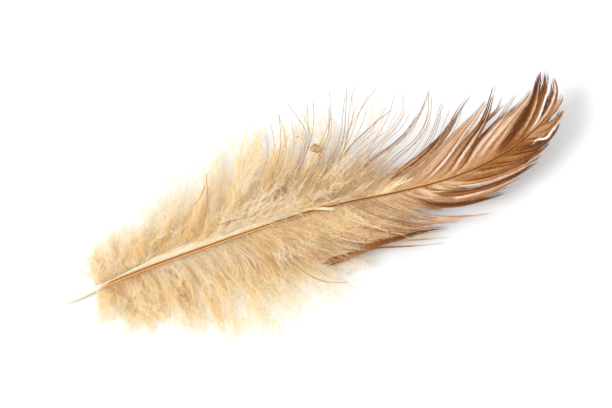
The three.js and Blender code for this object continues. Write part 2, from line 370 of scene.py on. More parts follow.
class Shading:
    """A material's nodes, with a few short ways to wire them."""

    def __init__(self, name):
        self.material = bpy.data.materials.new(name)
        self.material.use_nodes = True
        self.tree = self.material.node_tree
        self.tree.nodes.clear()

    def node(self, kind, inputs, **settings):
        """A node with settings, and with a value or another node's socket for each input."""
        made = self.tree.nodes.new(kind)
        for key, value in settings.items():
            setattr(made, key, value)
        for key, value in inputs.items():
            if isinstance(value, bpy.types.NodeSocket):
                self.tree.links.new(value, made.inputs[key])
            else:
                made.inputs[key].default_value = value
        return made

    def math(self, operation, a, b, clamp=False):
        settings = {"operation": operation, "use_clamp": clamp}
        return self.node("ShaderNodeMath", {0: a, 1: b}, **settings).outputs[0]

    def total(self, values):
        """The sum of values, held between 0 and 1."""
        sum_so_far = values[0]
        for value in values[1:-1]:
            sum_so_far = self.math("ADD", sum_so_far, value)
        return self.math("ADD", sum_so_far, values[-1], clamp=True)

    def ranged(self, value, low, high, to_low=0.0, to_high=1.0):
        ends = {"From Min": low, "From Max": high, "To Min": to_low, "To Max": to_high}
        kind = "ShaderNodeMapRange"
        return self.node(kind, {"Value": value, **ends}, interpolation_type="SMOOTHSTEP").outputs[0]

    def ramp(self, value, stops):
        made = self.node("ShaderNodeValToRGB", {0: value})
        elements = made.color_ramp.elements
        while len(elements) < len(stops):
            elements.new(0.5)
        for element, (place, colour) in zip(elements, stops):
            element.position = place
            element.color = (*colour, 1)
        return made.outputs[0]

    def uv(self):
        uv_map = self.node("ShaderNodeUVMap", {}, uv_map="OFBake")
        split = self.node("ShaderNodeSeparateXYZ", {0: uv_map.outputs[0]})
        return split.outputs[0], split.outputs[1]

    def noise(self, place, scale, detail):
        inputs = {"Vector": place, "Scale": scale, "Detail": detail}
        return self.node("ShaderNodeTexNoise", inputs).outputs[0]

    def mottle(self, u, v, amount, often_u, often_v, seed):
        """Between minus and plus an amount, and so often over the feather's length and a barb's."""
        u, v = self.math("MULTIPLY", u, often_u), self.math("MULTIPLY", v, often_v)
        place = self.node("ShaderNodeCombineXYZ", {0: u, 1: v, 2: seed}).outputs[0]
        return self.ranged(self.noise(place, 1.0, 2.0), 0.3, 0.7, -amount, amount)

    def principled(self, colour, rough, gloss, **more):
        inputs = {"Base Color": colour, "Roughness": rough, "Specular IOR Level": gloss, **more}
        return self.node("ShaderNodeBsdfPrincipled", inputs).outputs[0]

    def finish(self, surface):
        self.node("ShaderNodeOutputMaterial", {"Surface": surface})
        return self.material


def barb_material(name, base, browning, tipping, mottles, see_through, rough=0.6, gloss=0.3,
                  pigments=PIGMENTS):
    """Feather colour from pigment. base is the pigment all over, or None where u is the pigment.
    browning and tipping: pigment gained between two places along the feather and along a barb.
    mottles: amount, how often along u and along v, and seed."""
    s = Shading(name)
    u, v = s.uv()
    parts = [s.ranged(u, low, high, 0.0, gain) for low, high, gain in browning]
    parts += [s.ranged(v, low, high, 0.0, gain) for low, high, gain in tipping]
    parts += [s.mottle(u, v, *mottle) for mottle in mottles]
    colour = s.ramp(s.total(parts + [u if base is None else base]), pigments)
    front = s.principled(colour, rough, gloss)
    behind = s.node("ShaderNodeBsdfTranslucent", {"Color": colour}).outputs[0]
    return s.finish(s.node("ShaderNodeMixShader", {0: see_through, 1: front, 2: behind}).outputs[0])


def add_barbs(name, shape, *looks):
    """A piece of the feather in a barb material of its own."""
    add_piece(name, shape, barb_material(name, *looks))


def shaft_material():
    """The quill is cream. u runs along the shaft and v round it, from left over to right."""
    s = Shading("shaft")
    u, v = s.uv()
    past_quill = s.ranged(u, 0.065, 0.085)
    beige = s.math("MULTIPLY", past_quill, 0.2)
    right = s.math("MULTIPLY", s.ranged(v, 0.72, 0.78, 1.0, 0.0), past_quill)
    strip = s.math("MULTIPLY", s.ranged(v, 0.26, 0.32, 0.0, 0.28), right)
    colour = s.ramp(s.total([
        beige, strip, s.ranged(u, 0.40, 0.55, 0.0, 0.22), s.ranged(u, 0.7, 0.95, 0.0, 0.35),
        s.mottle(u, v, 0.05, 120, 20, 1.0),
    ]), SHAFT_COLOURS)
    return s.finish(s.principled(colour, 0.55, 0.2))


def speckled_material(name, colours, scale, rough):
    """A dry, grainy surface whose colour changes from grain to grain."""
    s = Shading(name)
    grains = s.noise(s.node("ShaderNodeTexCoord", {}).outputs["Object"], scale, 4.0)
    colour = s.ramp(grains, ((0.35, colours[0]), (0.65, colours[1])))
    bump = s.node("ShaderNodeBump", {"Strength": 0.6, "Distance": 0.0001, "Height": grains})
    return s.finish(s.principled(colour, rough, 0.5, Normal=bump.outputs[0]))


# The shaft

SHAFT_STEPS = 180
SHAFT_SIDES = 24
GROOVE_DEPTH = 0.45  # as a share of the shaft's half thickness
GROOVE_SPREAD = 0.35  # its half width, in radians round the shaft
QUILL_POINT = 0.15


def build_shaft():
    x = LENGTH * np.linspace(0, 1, SHAFT_STEPS) ** 1.15
    y, z = shaft_at(x)
    wide, high = along(SHAFT_SIZES, x).T
    heading = shaft_heading(x)
    across = np.stack([-np.sin(heading), np.cos(heading), 0 * x], -1)
    turn = np.linspace(0, 2 * np.pi, SHAFT_SIDES, endpoint=False)
    dip = np.exp(-(((turn - np.pi / 2) / GROOVE_SPREAD) ** 2))
    groove = 1 - GROOVE_DEPTH * dip[None] * smoothstep(9, 13, x)[:, None]
    out = np.cos(turn)[None] * wide[:, None]
    up = np.sin(turn)[None] * high[:, None] * groove
    centre = np.stack([x, y, z], -1)
    rings = centre[:, None] + across[:, None] * out[..., None] + UP * up[..., None]
    points = rings.reshape(-1, 3)
    ring, after, faces = ring_faces(SHAFT_STEPS, SHAFT_SIDES)
    first, last = len(points), len(points) + 1
    points = np.vstack([points, centre[:1] - (QUILL_POINT, 0, 0), centre[-1:]])
    end = (SHAFT_STEPS - 1) * SHAFT_SIDES
    faces += [
        np.stack([np.full(SHAFT_SIDES, first), after, ring], -1),
        np.stack([end + ring, end + after, np.full(SHAFT_SIDES, last)], -1),
    ]
    uv = np.stack(np.meshgrid(x / LENGTH, turn / (2 * np.pi), indexing="ij"), -1)
    uv = np.vstack([uv.reshape(-1, 2), (0, 0.6), (1, 0.3)])
    add_piece("shaft", (points, np.vstack(faces), uv), shaft_material())


GROOVE_LINE = [  # x and half its width
    (10.2, 0.05), (12, 0.16), (20, 0.21), (36, 0.2), (50, 0.17), (62, 0.17), (80, 0.16),
    (100, 0.14), (123, 0.08),
]
GROOVE_STEPS = 240
GROOVE_SIDE = -0.2  # how far left of the shaft's middle the line runs, as a share of its half width
GROOVE_LEVEL = 0.72  # how high the line lies, as a share of the shaft's half thickness
# How dark the groove line is: partly its own brown, partly painted shade of the groove.
GROOVE_BROWN_AND_SHADE_TONE = 0.84


def build_groove_brown_and_shade():
    """The dark line along the groove in the shaft's upper face: a brown tube, partly the shaft's
    own colour and partly painted shade of the groove.
    """
    x = np.linspace(GROOVE_LINE[0][0], GROOVE_LINE[-1][0], GROOVE_STEPS)
    y, z = shaft_at(x)
    wide, high = along(SHAFT_SIZES, x).T
    line = np.stack([x, y + GROOVE_SIDE * wide, z + GROOVE_LEVEL * high], -1)[None]
    radii = np.interp(x, *np.array(GROOVE_LINE).T)
    add_barbs(
        "shaft_groove_brown_and_shade", tubes(line, radii, (x / LENGTH)[None], np.linspace(0, 1, len(x)), 6),
        GROOVE_BROWN_AND_SHADE_TONE, [(0.36, 0.55, 0.13)], [(0.0, 0.9, 0.06)], [(0.08, 260, 0, 4)],
        0.0, 0.6, 0.1, GROOVE_BROWN_AND_SHADE_COLOURS)


BASES_FROM, BASES_TO, BASES_STEP = 9.5, 60, 0.17
# The line of the barbs that cross the shaft: x, and y from the shaft's middle.
CROSSING = np.array([(59.5, 0.9), (62, 0.35), (64.5, -0.3), (67.5, -1.2)])
CROSSINGS = 9


def build_barb_bases():
    """The smooth bases of the left barbs along the shaft, and a few barbs laid over it."""
    rng = np.random.default_rng(21)
    roots = np.arange(BASES_FROM, BASES_TO, BASES_STEP)
    share = np.linspace(0, 1, 11)[None]
    run = rng.uniform(8, 15, (len(roots), 1))
    out = rng.uniform(0.5, 2.8, (len(roots), 1)) * smoothstep(5, 22, roots)[:, None]
    x = roots[:, None] + run * share
    y = shaft_at(x)[0] + 0.3 + out * share**1.1
    z = shaft_at(x)[1] + 0.25 + 0.35 * np.sin(np.pi * share) + rng.normal(0, 0.09, (len(roots), 1))
    lines = np.stack([x, y, z], -1)
    over = rng.uniform(0, 1, (CROSSINGS, 1)) * 2.0
    at = np.linspace(0, 1, len(CROSSING))
    x = np.interp(share, at, CROSSING[:, 0]) + over
    y = shaft_at(x)[0] + np.interp(share, at, CROSSING[:, 1])
    y = y + rng.normal(0, 0.25, (CROSSINGS, 1)) * (0.4 + share)
    z = shaft_at(x)[1] + 0.55 + 0.2 * np.sin(np.pi * share)
    lines = np.concatenate([lines, np.stack([x, y, z], -1)])
    add_barbs(
        "barb_bases", tubes(lines, 0.12 - 0.07 * share, lines[:, 0, 0] / LENGTH, share), 0.15,
        [(0.3, 0.5, 0.1)], [(0.4, 1.0, -0.05)], [(0.13, 400, 1.0, 3.0)], 0.3, 0.7, 0.1)


# The down

# How far the down reaches on each side: x of the roots, and the share of the barb's length there.
DOWNY_SHARE = {
    LEFT: ((30, 40, 52), (1.0, 0.9, 0.58)),
    RIGHT: ((8, 24, 29, 36, 45, 54, 60), (1.1, 1.08, 1.0, 1.06, 1.28, 1.2, 1.0)),
}


def down_lines(side, roots, edges, rng, style, steps=14):
    """Downy barbs in tufts between the surface and a little above the shaft."""
    lock_of, middles = cut_into_locks(roots, edges)
    locks = len(middles)
    lock_reach = rng.uniform(*style["lock_reach"], locks)
    lock_turn = rng.normal(0, style["lock_turn"], locks)
    layer = rng.uniform(*style["layer"], locks)
    pull = rng.uniform(*style["pull"], locks)
    lock_reach = lock_reach * np.interp(middles, *DOWNY_SHARE[side])
    bend_by = style["bend_by"]
    lock_lines = plan_lines(side, middles, lock_reach, lock_turn, steps, bend_by)
    lock_lines = waved(lock_lines, 0.8, 0.8, rng)
    reach = lock_reach[lock_of] * rng.uniform(*style["barb_reach"], len(roots))
    turn = lock_turn[lock_of] + rng.normal(0, style["barb_turn"], len(roots))
    plan = plan_lines(side, roots, reach, turn, steps, bend_by)
    plan = waved(gathered(plan, lock_of, lock_lines, pull, 0.05), style["wave"], 1.7, rng)
    share = np.linspace(0, 1, steps + 1)[None]
    height = np.clip(layer[lock_of] + rng.normal(0, 0.14, len(roots)), 0, 1.15)[:, None]
    x, y = plan[..., 0], plan[..., 1]
    surface = sheet_height(x, y)
    low = surface + (0.45 - surface) * smoothstep(0, 0.35, share) * (1 - 0.35 * share**3)
    high = surface * (1 - 0.25 * share) + style["arch"] * np.sin(0.75 * np.pi * share)
    z = low + (high - low) * height
    return np.concatenate([plan, z[..., None]], -1)


# How the layers of down grow, with a value for each of the layers named below. Reaches are shares
# of a barb's length, and a layer of 0 lies on the surface and one of 1 on top of the feather.
DOWN_STYLES = dict(
    barb_step=(0.4, 0.5, 0.6, 0.45, 0.5, 0.45, 0.5),
    lock_step=(3.4, 2.0, 0.7, 1.7, 2.2, 2.2, 1.6),
    lock_reach=((0.93, 1.08), (0.35, 0.9), (0.85, 1.1), (0.35, 0.65), (0.6, 1.05), (0.8, 1.6),
     (1.0, 1.75)),
    barb_reach=((0.62, 1.1), (0.65, 1.1), (0.9, 1.08), (0.7, 1.1), (0.7, 1.1), (0.6, 1.1),
     (0.7, 1.1)),
    lock_turn=(7, 20, 16, 6, 8, 14, 14),
    barb_turn=(14, 10, 8, 7, 8, 10, 14),
    layer=((0.0, 0.55), (0.45, 1.1), (0.1, 1.0), (1.0, 1.15), (1.0, 1.2), (0.8, 1.1),
     (0.8, 1.1)),
    pull=((0.0, 0.3), (0.15, 0.5), (0.0, 0.2), (0.1, 0.5), (0.2, 0.6), (0.2, 0.6), (0.0, 0.4)),
    wave=(0.9, 0.7, 0.9, 0.8, 0.6, 0.6, 0.7),
    arch=(1.9, 2.2, 2.2, 2.0, 1.0, 1.2, 1.2),
    fluff=(3.0, 2.4, 0.9, 2.0, 1.3, 1.4, 1.0),
    fluff_step=(0.23, 0.22, 0.34, 0.24, 0.3, 0.24, 0.4),
    fluff_width=(0.065, 0.055, 0.05, 0.05, 0.06, 0.07, 0.035),
    tilt=(50, 50, 60, 50, 45, 45, 60),
    curl=(0.45, 0.45, 0.5, 0.45, 0.4, 0.4, 0.6),
    base=(0.2, 0.12, 0.1, 0.08, 0.36, 0.27, 0.34),
    sprig_step=(9, 3.6, 9, 4.5, 5, 4.5, 5),
    see_through=(0.75, 0.72, 0.6, 0.65, 0.5, 0.5, 0.6),
    lean=(38, 36, 34, 26, 32, 34, 42),
    bend_by=(1.0, 1.0, 1.0, 3.0, 1.6, 1.5, 1.2),
    bare_until=(-0.03, -0.03, -0.03, -0.03, 0.42, -0.03, -0.03),
)
UNDER_DOWN, TUFTS, WISPS, CREAM_TUFTS, OUTER_FUZZ, VANE_FUZZ, HAZE = (
    dict(zip(DOWN_STYLES, column)) for column in zip(*DOWN_STYLES.values()))
RIGHT_UNDER_DOWN = dict(UNDER_DOWN, lock_reach=(0.92, 1.02), barb_reach=(0.62, 1.04))
RIGHT_WISPS = dict(WISPS, lock_reach=(0.78, 0.94), barb_reach=(0.88, 1.0))
RIGHT_FUZZ = dict(VANE_FUZZ, bend_by=1.0, lock_reach=(0.4, 0.8), base=0.33)
SPRIG_SIZE = (2.2, 5.5)
SPRIG_STEPS = 6
SPRIG_FLUFF = 0.6  # its barbules' length against the barbs' own


def sprig_lines(lines, spacing, rng):
    """Short, curling side tufts on the barbs: their points, and the barb and share of each."""
    owner, share, spot, ahead = on_lines(lines, spacing, rng)
    out = share > 0.1
    owner, share, spot, ahead = owner[out], share[out], spot[out], ahead[out]
    count = len(owner)
    heading = np.arctan2(ahead[:, 1], ahead[:, 0]) + np.radians(rng.normal(0, 28, count))
    curl = np.radians(rng.normal(0, 45, count))
    rise = rng.uniform(-0.15, 0.5, count)
    fall = rng.uniform(0.2, 0.9, count)
    size = rng.uniform(*SPRIG_SIZE, count) * (1 - 0.3 * share)
    step = np.arange(SPRIG_STEPS) / SPRIG_STEPS
    angle = heading[:, None] + curl[:, None] * step
    climb = rise[:, None] - fall[:, None] * step
    ways = unit(np.stack([np.cos(angle), np.sin(angle), climb], -1))
    path = np.cumsum(ways * (size / SPRIG_STEPS)[:, None, None], axis=1)
    return np.concatenate([spot[:, None], spot[:, None] + path], axis=1), owner, share


def build_down(name, side, start, end, seed, style):
    rng = np.random.default_rng(seed)
    roots = np.arange(start, end, style["barb_step"])
    roots = roots + rng.uniform(-0.1, 0.1, len(roots))
    edges = np.arange(start - 0.7, end + style["lock_step"], style["lock_step"])
    edges = edges + rng.uniform(-0.3, 0.3, len(edges)) * style["lock_step"]
    lines = down_lines(side, roots, edges, rng, style)
    u = roots / LENGTH
    share = np.linspace(0, 1, lines.shape[1])
    sprigs, owner, place = sprig_lines(lines, style["sprig_step"], rng)
    along_sprig = np.linspace(0, 1, SPRIG_STEPS + 1)[None]
    barbs = joined([
        tubes(lines, 0.055 - 0.035 * share, u, share),
        tubes(sprigs, 0.035 - 0.02 * along_sprig, u[owner], place[:, None] + 0.1 * along_sprig),
    ])
    browning = [(0.36, 0.62, 0.12)]
    mottles = [(0.10, 300, 2.5, seed), (0.16, 14, 2.5, seed + 0.5)]
    add_barbs(
        name + "_barbs", barbs, style["base"], browning, [(0.5, 1.0, -0.1)], mottles,
        style["see_through"])
    bare_until = style["bare_until"]

    def length_at(owner, share):
        grown = smoothstep(bare_until, bare_until + 0.14, share)
        return style["fluff"] * (1 - 0.45 * share) * grown

    def sprig_length_at(owner, share):
        return SPRIG_FLUFF * style["fluff"] * (1 - 0.6 * share)

    step = style["fluff_step"]
    kind = (style["lean"], style["tilt"], style["fluff_width"], style["curl"])
    fluff = joined([
        grow_barbules(lines, u, step, rng, length_at, *kind),
        grow_barbules(sprigs, u[owner], step, rng, sprig_length_at, *kind, place),
    ])
    add_barbs(
        name + "_fluff", fluff, style["base"], browning, [(0.35, 1.0, -0.12)], mottles,
        style["see_through"])


# The vane

def vane_lines(vane, roots, rng, steps=18):
    """Barbs of the vane, gathered into locks with gaps between them."""
    side, bend_by = vane["side"], vane["bend_by"]
    lock_of, middles = cut_into_locks(roots, np.array(vane["edges"]))
    pulls = np.interp(middles, *vane["pulls"])
    stray = np.interp(roots, *vane["stray"])
    lock_turn = rng.normal(0, 4, len(middles))
    lock_reach = np.interp(middles, *vane["reach"])
    lock_lines = plan_lines(side, middles, lock_reach, lock_turn, steps, bend_by)
    reaches = np.interp(roots, *vane["reach"]) * rng.uniform(0.7, 1.1, len(roots))
    turn = lock_turn[lock_of] + rng.normal(0, 1, len(roots)) * stray
    plan = plan_lines(side, roots, reaches, turn, steps, bend_by)
    plan = gathered(plan, lock_of, lock_lines, pulls, 0.25)
    plan = waved(plan, 0.05 * stray[:, None], 0.9, rng)
    share = np.linspace(0, 1, steps + 1)[None]
    x, y = plan[..., 0], plan[..., 1]
    lift = rng.normal(0, 0.25, (len(roots), 1)) * share
    lift = lift + rng.normal(0, 0.5, (len(roots), 1)) * share**2
    z = sheet_height(x, y) + lift
    return np.concatenate([plan, z[..., None]], -1)


def lock_lines(side, rows, style, rng, steps=20):
    """Barbs in locks, and the pigment along them. A row holds the root, the length of shaft that
    the roots take, the number of barbs, half the width in the middle and at the tip, the pigment
    at the root and at the tip, how far the tip is lifted, and x and y of the middle line's points.
    A length of 0 leaves a lock loose, off the shaft. Some pale rows paint highlights."""
    share = np.linspace(0, 1, steps + 1)
    lines, tones = [], []
    for root, span, count, middle, end, first, last, lift, *points in rows:
        points = [root, shaft_at(root)[0], *points] if span else points
        path = np.array(points, float).reshape(-1, 2)
        path[-1] += style["beyond"] * unit(path[-1] - path[-2])
        far = np.append(0, np.cumsum(np.linalg.norm(np.diff(path, axis=0), axis=1)))
        place = np.linspace(-1, 1, count) if count > 1 else np.zeros(1)
        cut = 1 - style["ragged"] * rng.uniform(0, 1, count) ** 2
        plan = along(np.column_stack([far / far[-1], path]), share[None] * cut[:, None])
        ahead = unit(np.gradient(plan, axis=1))
        inwards = side * np.stack([ahead[..., 1], -ahead[..., 0]], -1)
        wide = np.interp(share, (0, 0.15, 0.5, 1), (0, 0.5 * middle, middle, end))
        plan = plan + inwards * (place[:, None] * wide)[..., None]
        roots = root + place * span / 2
        beside = side * ROOT_SHARE * along(SHAFT_SIZES, roots)[:, 0]
        begin = np.stack([roots, shaft_at(roots)[0] + beside], -1)
        if span:
            plan = plan + (begin - plan[:, 0])[:, None] * ((1 - share) ** 2)[None, :, None]
        plan = waved(plan, 0.1 + 0.05 * end, 1.2, rng)
        x, y = plan[..., 0], plan[..., 1]
        rise = lift + rng.normal(0, 0.12, count)
        z = sheet_height(x, y) + rise[:, None] * share**1.5
        lines.append(np.concatenate([plan, z[..., None]], -1))
        stripe = np.repeat(rng.normal(0, LOCK_STRIPES, count), STRIPE_BARBS)[:count]
        stripe = stripe + rng.normal(0, 0.3 * LOCK_STRIPES, count)
        stripe += EDGE_TONE * (np.abs(place) > 0.87) * (count > NARROW_LOCK)
        tone = first + (last - first) * share[None] + stripe[:, None] * smoothstep(0, 0.4, share)
        tones.append(np.clip(tone, 0.01, 0.99))
    return np.concatenate(lines), np.concatenate(tones)


LOCK_STRIPES = 0.14  # how much the pigment of a lock's barbs differs
STRIPE_BARBS = 3  # barbs beside one another that share a stripe
EDGE_TONE = 0.26  # how much darker a broad lock's edges are
NARROW_LOCK = 7  # a lock with no more barbs than this has no darker edges
CLOSED = dict(
    web=0.5, spacing=0.085, until=0.92, ragged=0.3, beyond=0, thick=(0.09, 0.055),
    pigments=VANE_PIGMENTS,
)
OPEN = dict(
    web=0.3, spacing=0.17, until=0.5, ragged=0.25, beyond=1.5,
    thick=(0.08, 0.075), pigments=HAIR_PIGMENTS,
)
TEETH = dict(
    web=1.3, spacing=0.2, until=0.9, ragged=0.3, beyond=0, thick=(0.06, 0.05),
    pigments=PIGMENTS,
)


def build_locks(name, side, rows, seed, style):
    """Locks with their barbules, which are of web's length up to the share that until gives."""
    rng = np.random.default_rng(seed)
    lines, tones = lock_lines(side, rows, style, rng)
    share = np.linspace(0, 1, lines.shape[1])
    thick = np.interp(share, (0, 1), style["thick"]) * rng.uniform(0.8, 1.25, (len(lines), 1))
    add_barbs(
        name + "_barbs", tubes(lines, thick, tones + 0.06, share), None, [], [],
        [(0.06, 30, 9, seed)], 0.12, 0.45, 0.14, style["pigments"])
    bare = style["until"] + rng.normal(0, 0.06, len(lines))

    def length_at(owner, share):
        fading = 1 - smoothstep(bare[owner] - 0.2, bare[owner], share)
        return style["web"] * smoothstep(0.0, 0.05, share) * fading

    barbules = grow_barbules(lines, tones, style["spacing"], rng, length_at, 38, 14, 0.075, 0)
    add_barbs(
        name + "_barbules", barbules, None, [], [], [(0.08, 30, 9, seed)], 0.25, 0.5, 0.12,
        style["pigments"])


LEFT_LOCKS = [
    (77.6, 3, 9, 0.7, 0.6, 0.45, 0.8, 0.5, 86, -1.8, 93.2, 0, 99.6, 2.7, 105.2, 6.6, 109.6, 9.2),
    (81.5, 0.6, 2, 0.2, 0.3, 0.8, 0.7, 0.6, 85.8, -4.4, 91.1, -2.7, 96, 0.5, 100.4, 4.4),
    (84.5, 9, 24, 1.3, 0.4, 0.54, 0.5, 0.1, 90, -4.8, 94.2, -3.3, 99.2, -1, 103.6, 1.1, 107.8, 3.2,
     111.8, 5.5),
    (91.5, 6, 14, 0.7, 0.4, 0.5, 0.98, 0.6, 96.6, -6.1, 100.3, -3.9, 104.3, -1.6, 108, 0.5, 110.3,
     2.5, 112.9, 5.6, 115, 8.2),
    (95, 1.6, 5, 0.45, 0.35, 0.55, 0.95, 0.4, 100.3, -4.9, 104.3, -2.2, 108.7, 0.8, 111.6, 1.7,
     115.5, 3),
    (96.5, 1, 3, 0.25, 0.2, 0.55, 0.9, 0.7, 104.5, -2.7, 109.7, 1, 113, 2.5, 115.5, 4.6),
    (97.5, 0.6, 2, 0.1, 0.2, 0.7, 0.98, 1.0, 101.5, -5.9, 106, -2.3, 108.7, -1.3, 111.8, -0.2,
     114.6, 1),
    (99, 1.6, 5, 0.4, 0.5, 0.5, 0.85, 0.5, 107.6, -3.2, 113, 0.4, 115.6, 2.2, 118.8, 4.6),
    (102.5, 11, 36, 1.9, 0.6, 0.58, 0.54, 0.2, 105.6, -6, 109.3, -3.9, 113.4, -1.9, 117.4, -0.1,
     120.3, 1.4, 122.8, 3.2),
    (109, 4, 17, 0.9, 0.3, 0.82, 0.94, 0.1, 112.3, -6.2, 116.2, -4, 119.6, -1.5, 122.3, 1.3, 124.2,
     4, 126, 6.5),
    (113.5, 5, 20, 1.2, 0.4, 0.84, 0.92, 0, 117.2, -5.7, 120.6, -3.2, 123.3, -0.4, 125.3, 2.3,
     126.5, 4.2, 127.5, 6.5),
    (117.5, 4, 16, 1.1, 0.5, 0.74, 0.74, 0, 120.4, -5.7, 123.3, -3.5, 125.6, -1.3, 127.2, 1, 127.9,
     3.8),
    (120.5, 3, 10, 0.6, 0.5, 0.62, 0.5, 0, 122.6, -4.8, 124.9, -3.7, 126.7, -2.4, 128.1, -0.6),
    (110, 9, 26, 1.9, 0.6, 0.76, 0.84, -0.5, 114.5, -5.6, 119, -2.8, 122.8, 0.3, 125.2, 3.2, 126.9,
     5.8),
    # The last four rows are thin barbs that turn pale towards their tips: painted highlights, the
    # sheen along the glossy barbs near the tip.
    (116, 0.4, 2, 0.1, 0.06, 0.5, 0.1, 0.7, 120.6, -4.2, 124, -0.6, 125.9, 1.6, 127, 4.6),
    (117, 0.4, 2, 0.1, 0.1, 0.5, 0.1, 0.6, 121.5, -4.6, 125.2, -2, 127.6, 1),
    (112, 0.4, 1, 0.1, 0.1, 0.6, 0.15, 0.6, 116, -5.4, 119.6, -2.6, 122.3, 0.2, 124.6, 4),
    (98, 0.4, 2, 0.1, 0.15, 0.4, 0.05, 0.5, 102, -6.2, 107, -3.3, 112, -0.9, 117, 1.4),
]
LEFT_HAIRS = [
    (44, 1, 2, 0.5, 0.9, 0.5, 0.7, 0.3, 54, 9, 59.5, 16, 60.9, 23.2),
    (47, 1, 1, 0.1, 0.1, 0.5, 0.7, 0.8, 57, 9, 62, 16, 64.5, 23.2),
    (49, 1, 2, 0.5, 1.2, 0.5, 0.65, 0.2, 58, 8, 64, 15, 65.6, 22),
    (53, 1, 1, 0.1, 0.1, 0.6, 0.75, 0.5, 62, 8, 69, 17.3, 68.2, 21.1, 67.4, 24),
    (54, 1, 1, 0.1, 0.1, 0.6, 0.75, 0.2, 63, 8, 70, 17.3, 69.9, 20.5, 69.6, 24.1),
    (50, 1, 1, 0.1, 0.1, 0.6, 0.75, 0.6, 59, 6, 68.9, 15.2, 70.6, 19.1, 71.8, 22.5),
    (52, 1, 1, 0.1, 0.1, 0.6, 0.8, 0.1, 61, 6, 70.4, 16.1, 72.3, 19.7, 73.7, 23.7),
    (56, 1, 2, 0.3, 0.1, 0.55, 0.8, 0.3, 65, 6, 74.6, 14.9, 76.3, 19.2, 78.1, 24.6),
    (55, 1, 1, 0.1, 0.1, 0.55, 0.7, 0.6, 65, 7, 76.2, 17.8, 78.6, 21),
    (58.7, 1, 2, 0.4, 0.2, 0.55, 0.8, 0.3, 67, 4.5, 75.3, 10.4, 79.8, 18.3, 82.4, 23.6),
    (58, 1, 1, 0.1, 0.1, 0.5, 0.75, 1.0, 68, 4, 77, 10.5, 80.7, 17, 84, 22),
    (59, 1, 1, 0.1, 0.1, 0.6, 0.8, 0.8, 68, 3.6, 76, 9.1, 78.7, 12.6, 81.2, 15.9, 82.4, 20.8),
    (57, 1, 2, 0.2, 0.8, 0.55, 0.8, 0.2, 68, 5, 78.5, 11.9, 82.7, 16.5, 86.4, 19.6),
    (58, 1, 1, 0.1, 0.1, 0.55, 0.75, 0.6, 69, 5.5, 80.8, 14.5, 84.5, 17, 88.3, 19.1),
    (60, 1, 1, 0.1, 0.1, 0.5, 0.7, 0.4, 70, 4.8, 79, 10, 84, 15, 86, 18),
    (59, 1, 2, 0.2, 0.2, 0.6, 0.85, 0.1, 69, 3.9, 78, 9, 84.9, 11.7, 88, 13.6, 91.6, 17.3),
    (60, 1, 1, 0.1, 0.1, 0.6, 0.75, 0.7, 70, 4.8, 78.8, 9.7, 84.3, 11.5, 90.9, 13.1),
    (61, 1, 2, 0.4, 0.9, 0.55, 0.7, 0.3, 71, 3.6, 79.4, 7.9, 85.2, 9.5, 90.2, 10.6),
    (64, 1, 2, 0.3, 0.2, 0.6, 0.8, 0.5, 73, 1.9, 82.7, 6.5, 88.3, 8.7, 91.9, 11.1, 93.4, 13.6,
     93.6, 16.6),
    (63, 1, 1, 0.1, 0.1, 0.5, 0.7, 0.2, 73, 3, 83, 8, 89, 12.4, 92, 16),
    (66, 1, 2, 0.4, 0.5, 0.55, 0.75, 0.2, 76, 2.3, 85.5, 7.1, 90, 8.6, 94.6, 12.2),
    (68, 2, 5, 0.4, 0.4, 0.6, 0.85, 0.2, 75, 0.9, 81.8, 4.2, 87.2, 5.2, 90.9, 6.5, 95.3, 9.3, 99.4,
     13.1),
    (73.6, 1, 2, 0.3, 0.3, 0.6, 0.8, 0.5, 81, -0.2, 87.5, 2.5, 91.8, 3.7, 95.3, 5.7, 98.4, 9.3,
     100, 13.3),
    (71, 1, 2, 0.4, 0.4, 0.5, 0.7, 0.7, 80, 1.8, 87, 4.2, 92, 6.4, 95.5, 9.8),
    (76, 1, 2, 0.6, 0.5, 0.55, 0.7, 0.2, 84, 0.2, 90, 2, 94.5, 4.6, 98, 8),
    (79.6, 1, 3, 0.5, 0.3, 0.6, 0.8, 0.4, 87, -1.2, 93.5, 1.3, 96.3, 3.2, 98.9, 5.8, 101.4, 8.8),
    (81.5, 1, 2, 0.4, 0.4, 0.6, 0.8, 0.6, 90, -1.6, 97.9, 1.9, 101, 4.8, 104.2, 8),
    (84, 1, 2, 0.4, 0.5, 0.6, 0.8, 0.2, 92, -2.4, 99, 1, 103.5, 4.6, 106.2, 8.6),
]
TEETH_LINES = [
    (0, 0, 3, 0.4, 0.3, 0.85, 1.0, 1.3, 59.6, -15.6, 64, -16, 70, -16, 77, -16.6, 84, -17.8),
    (0, 0, 2, 0.3, 0.2, 0.9, 0.95, 1.1, 61, -16.6, 66, -16.8, 72, -16.6, 78, -17),
]
